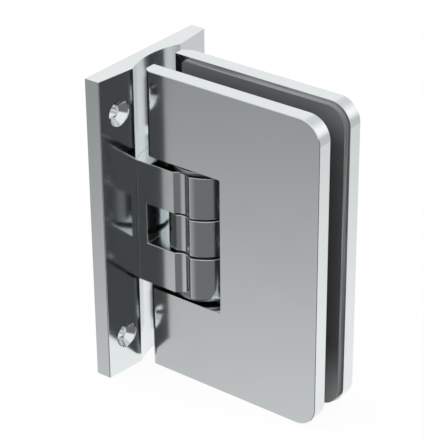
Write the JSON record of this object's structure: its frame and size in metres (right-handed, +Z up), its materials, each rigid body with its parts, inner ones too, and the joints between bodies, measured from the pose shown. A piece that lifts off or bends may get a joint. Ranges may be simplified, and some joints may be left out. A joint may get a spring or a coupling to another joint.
{
  "type": "glass door hinge",
  "caption": "Polished wall-to-glass shower door hinge: a grooved wall plate with a fork carries a clamp of two notched plates with gaskets, which swings both ways on a vertical pin.",
  "frame": {"origin": "centre of the wall plate's back face, on the wall", "axes": "+X out of the wall along the closed door, +Y along the wall, +Z up along the pin's direction"},
  "size_m": [0.0645, 0.0446, 0.09],
  "materials": {
    "chrome_plate": "polished chrome plating on brass, mirror bright",
    "steel_screw": "satin stainless steel",
    "steel_pin": "ground stainless steel",
    "black_washer": "black acetal",
    "bush_plastic": "natural acetal",
    "gasket_sheet": "dark grey sheet gasket with cut edges",
    "sleeve_plastic": "translucent white nylon"
  },
  "bodies": {
    "wall_side": {"wall_plate": "chrome_plate", "wall_fork": "chrome_plate", "fork_screw_upper": "steel_screw", "fork_screw_lower": "steel_screw", "hinge_pin": "steel_pin", "pin_cap_upper": "chrome_plate", "pin_cap_lower": "chrome_plate", "cap_washer": "black_washer", "thrust_washer_upper": "black_washer", "thrust_washer_lower": "black_washer"},
    "door_side": {"door_knuckle": "chrome_plate", "bush_upper": "bush_plastic", "bush_lower": "bush_plastic", "front_plate": "chrome_plate", "rear_plate": "chrome_plate", "front_gasket": "gasket_sheet", "rear_gasket_inner": "gasket_sheet", "rear_gasket_outer": "gasket_sheet", "block_screw_upper": "steel_screw", "block_screw_lower": "steel_screw", "glass_screw_upper": "steel_screw", "glass_screw_lower": "steel_screw", "glass_sleeve_upper": "sleeve_plastic", "glass_sleeve_lower": "sleeve_plastic"}
  },
  "joints": [
    {"name": "door_swing", "type": "hinge", "parent": "wall_side", "child": "door_side", "pos_m": [0.02175, 0, 0], "axis": [0, 0, 1], "range_deg": [-90, 90]}
  ]
}
